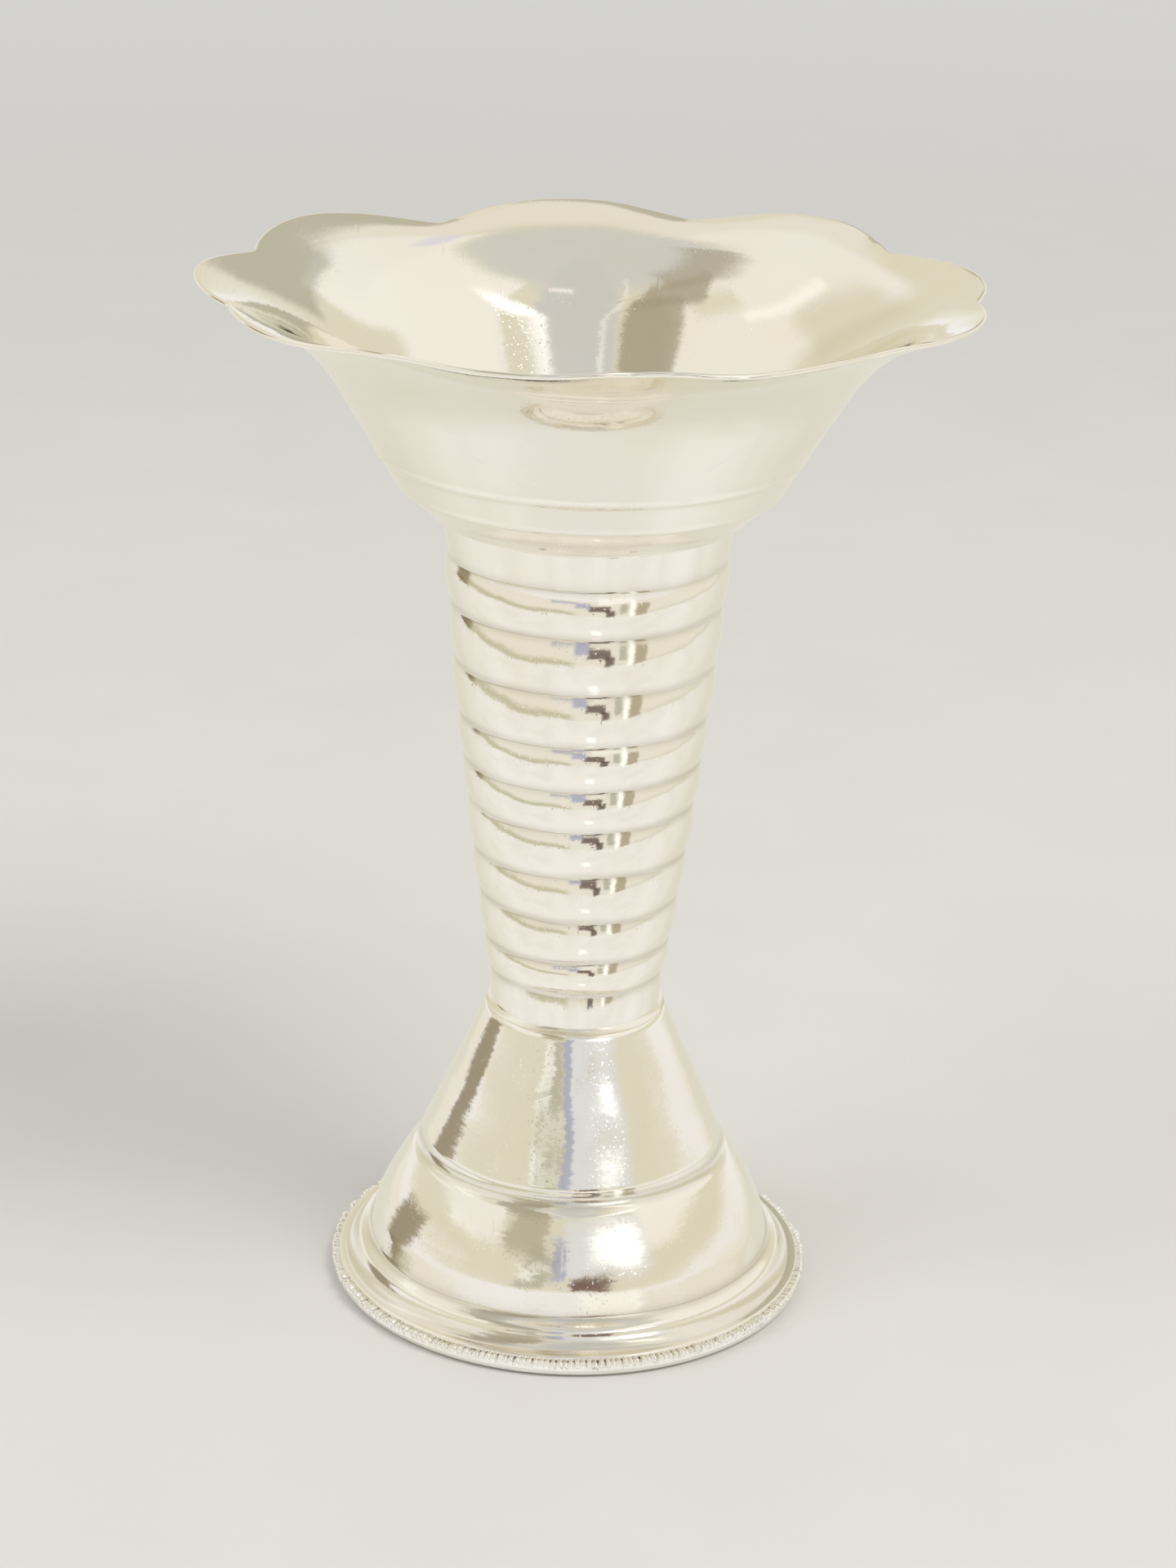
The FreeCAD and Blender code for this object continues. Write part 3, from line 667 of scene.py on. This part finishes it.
def make_world():
    """A pale studio. Metal reflects a plain room: a table, cream walls, a grey ceiling and a few things."""
    world = bpy.data.worlds.new("studio")
    bpy.context.scene.world = world
    world.use_nodes = True
    n = Nodes(world.node_tree)
    direction = n.add("ShaderNodeTexCoord", output="Generated")
    drift = n.vector("SUBTRACT", n.noise(direction, 2.6, 2.0, output=1), (0.5, 0.5, 0.5))
    parts = n.tree.nodes.new("ShaderNodeSeparateXYZ")
    n.put(parts.inputs[0], n.vector("NORMALIZE", n.vector("ADD", direction, n.vector("SCALE", drift, 0.14))))
    x, y, z = parts.outputs
    azimuth = n.math("DEGREES", n.math("ARCTAN2", x, n.math("MULTIPLY", y, -1.0)))
    elevation = n.math("DEGREES", n.math("ARCSINE", z))

    def band(value, middle, half, soft):
        away = n.math("ABSOLUTE", n.math("SUBTRACT", value, middle))
        return n.ramp(away, half + soft, half - soft)

    def layer(under, mask, colour, strength):
        return n.mix(n.math("MULTIPLY", mask, strength), under, colour)

    half_turn = n.math("COSINE", n.math("MULTIPLY", azimuth, math.radians(0.5)))
    above = n.math("ADD", elevation, n.math("MULTIPLY", half_turn, TABLE_DIP))

    room = n.mix(n.ramp(elevation, 4, 13), WALL_LOW, WALL_CREAM)
    room = layer(room, n.ramp(elevation, 60, 72), CEILING, 1.0)
    for (side, width), (up, height), lean, soft, colour, strength in ROOM_THINGS:
        level = n.math("SUBTRACT", elevation, up)
        turned = n.math("SUBTRACT", azimuth, n.math("MULTIPLY", level, lean)) if lean else azimuth
        across = band(turned, side, width, soft)
        mask = n.math("MULTIPLY", across, band(elevation, up, height, min(soft, height)))
        room = layer(room, mask, colour, strength)
    for (side, width), (up, height), colour, strength in TABLE_EDGES:
        mask = n.math("MULTIPLY", band(azimuth, side, width, 6), band(above, up, height, 2.8))
        room = layer(room, mask, colour, strength)
    cloth = n.mix(n.ramp(n.noise(direction, 3.2, 3.0), 0.42, 0.66), TABLE_WHITE, TABLE_SHADE)
    cloth = layer(cloth, n.ramp(elevation, -60, -78), TABLE_BELOW, 0.8)
    spot = n.math("MULTIPLY", band(azimuth, 9, 5, 2.5), band(elevation, -50, 2.5, 1.5))
    cloth = layer(cloth, spot, LAMP_SPOT, 1.0)
    cloth = layer(cloth, n.ramp(n.math("ABSOLUTE", azimuth), 85, 155), TABLE_BEHIND, 0.9)
    room = layer(room, n.ramp(above, 0.7, -0.7), cloth, 1.0)

    path = n.tree.nodes.new("ShaderNodeLightPath")
    mirrored = n.math("MAXIMUM", path.outputs["Is Glossy Ray"], path.outputs["Is Transmission Ray"])
    colour = n.mix(mirrored, STUDIO, room)
    colour = n.mix(path.outputs["Is Camera Ray"], colour, BACKDROP)
    background = n.add("ShaderNodeBackground", {"Color": colour, "Strength": 1.0})
    output = n.tree.nodes.new("ShaderNodeOutputWorld")
    n.put(output.inputs["Surface"], background)


FLOOR_RADIUS = 0.0305                           # of the disc under the foot, in metres, as the next two are
FLOOR_REACH = 6.0
FLOOR_FADE = (0.35, 1.1)                        # where the table goes over into the backdrop
FLOOR_COLOURS = (0.70, 0.69, 0.665, 1), (0.74, 0.73, 0.71, 1)
FLOOR_SEGMENTS = 128


def make_floor():
    """A pale matt table. The metal reflects the disc under the foot, and the world draws the rest for it."""
    material = bpy.data.materials.new("pale_table")
    material.use_nodes = True
    n = Nodes(material.node_tree)
    place = n.add("ShaderNodeTexCoord", output="Object")
    colour = n.mix(n.noise(place, 35.0, 4.0), *FLOOR_COLOURS)
    shader = n.add("ShaderNodeBsdfPrincipled", {"Base Color": colour, "Roughness": 0.75})
    glow = n.add("ShaderNodeEmission", {"Color": BACKDROP})
    path = n.tree.nodes.new("ShaderNodeLightPath")
    far = n.ramp(n.add("ShaderNodeVectorMath", {0: place}, 1, operation="LENGTH"), *FLOOR_FADE)
    finish_tree(n, n.add("ShaderNodeMixShader", {
        0: n.math("MULTIPLY", far, path.outputs["Is Camera Ray"]), 1: shader, 2: glow}))
    for name, inner, outer in (("table", 0.0, FLOOR_RADIUS), ("table_beyond", FLOOR_RADIUS, FLOOR_REACH)):
        verts, faces = [], []
        for i in range(FLOOR_SEGMENTS):
            x, y = on_circle(i, FLOOR_SEGMENTS)
            for radius in (max(inner, 1e-4), outer):
                verts.append((radius * x, radius * y, cad_box[0][2] - 1e-5))
            j = (i + 1) % FLOOR_SEGMENTS
            faces.append((2 * i, 2 * i + 1, 2 * j + 1, 2 * j))
        mesh = bpy.data.meshes.new(name)
        mesh.from_pydata(verts, [], faces)
        piece = bpy.data.objects.new(name, mesh)
        bpy.context.scene.collection.objects.link(piece)
        paint(piece, material)
        if inner:
            piece.visible_glossy = False


LAMP_AIM = (0, 0, 0.05)


def make_lamp(name, place, aim, size, watts, colour):
    light = bpy.data.lights.new(name, "AREA")
    light.shape = "DISK"
    light.size = size
    light.energy = watts
    light.color = colour
    lamp = bpy.data.objects.new(name, light)
    lamp.location = place
    lamp.rotation_euler = (Vector(aim) - Vector(place)).to_track_quat("-Z", "Y").to_euler()
    lamp.visible_glossy = False
    bpy.context.scene.collection.objects.link(lamp)


CAMERA_PLACE = (0.0008, -0.3983, 0.2154)
CAMERA_DOWN, CAMERA_ROLL = 20.84, 1.7           # degrees
CAMERA_LENS, CAMERA_SENSOR = 82.19, 36.0        # millimetres


def make_camera():
    """Looks down at the vase from a little above its rim, tilted slightly, as a hand-held camera would."""
    data = bpy.data.cameras.new("camera")
    data.lens = CAMERA_LENS
    data.sensor_width = CAMERA_SENSOR
    data.clip_start = 0.05
    data.clip_end = 20.0
    camera = bpy.data.objects.new("camera", data)
    camera.location = CAMERA_PLACE
    level = Euler((math.radians(90 - CAMERA_DOWN), 0, 0)).to_matrix()
    roll = Euler((0, 0, math.radians(CAMERA_ROLL))).to_matrix()
    camera.rotation_euler = (level @ roll).to_euler()
    bpy.context.scene.collection.objects.link(camera)
    bpy.context.scene.camera = camera


# ---------------------------------------------------------------- build

make_camera()
make_world()
make_floor()
make_lamp("key", (0.7, -0.5, 1.2), LAMP_AIM, size=0.8, watts=9.0, colour=(1.0, 0.98, 0.94))
make_lamp("fill", (-0.9, -0.4, 0.9), LAMP_AIM, size=0.9, watts=4.0, colour=(0.97, 0.98, 1.0))

bowl_silver = silver("bowl_silver", SILVER, roughness=0.06, line_depth=1.2e-6,
                     jag=0.02, grit=0.02, dent=1.2e-5, scratch=1.0, tarnish=0.25)
stem_silver = silver("stem_silver", SILVER, roughness=0.07, line_depth=1.5e-6,
                     jag=0.02, grit=0.02, dent=1.5e-5, scratch=0.5, tarnish=0.75)
foot_silver = silver("foot_silver", SILVER, roughness=0.10, line_depth=3e-6,
                     jag=0.08, grit=0.045, dent=3e-5, scratch=0.8, tarnish=0.6)
# The beads take the lighter copy of the silver, as painted highlight
brightened_bead_silver = silver("brightened_bead_silver", BRIGHTENED_BEAD_SILVER, roughness=0.2, line_depth=2e-6,
                     jag=0.1, grit=0.3, dent=2e-5, scratch=0.3, tarnish=0.2)
solder_silver = silver("solder_silver", SOLDER, roughness=0.2, line_depth=3e-6,
                       jag=0.1, grit=0.1, dent=2e-5, scratch=0.2, tarnish=0.3)

for make, node, material, slot in (
    (make_bowl, "bowl", bowl_silver, "polished_silver"),
    (make_stem, "stem", stem_silver, "polished_silver"),
    (make_foot, "foot", foot_silver, "polished_silver"),
    (make_wire, "foot_edge_wire", brightened_bead_silver, "beaded_silver"),
):
    piece = make()
    paint(piece, material)
    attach(piece, "root")
    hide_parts(node)

for node in ("stem_floor", "bowl_solder", "stem_solder", "floor_solder", "wire_solder"):
    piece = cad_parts[node]
    material = stem_silver if node == "stem_floor" else solder_silver
    if piece.data.materials:
        for slot in piece.material_slots:
            slot.material = material
    else:
        piece.data.materials.append(material)

view = bpy.context.scene.view_settings
view.view_transform = "Standard"
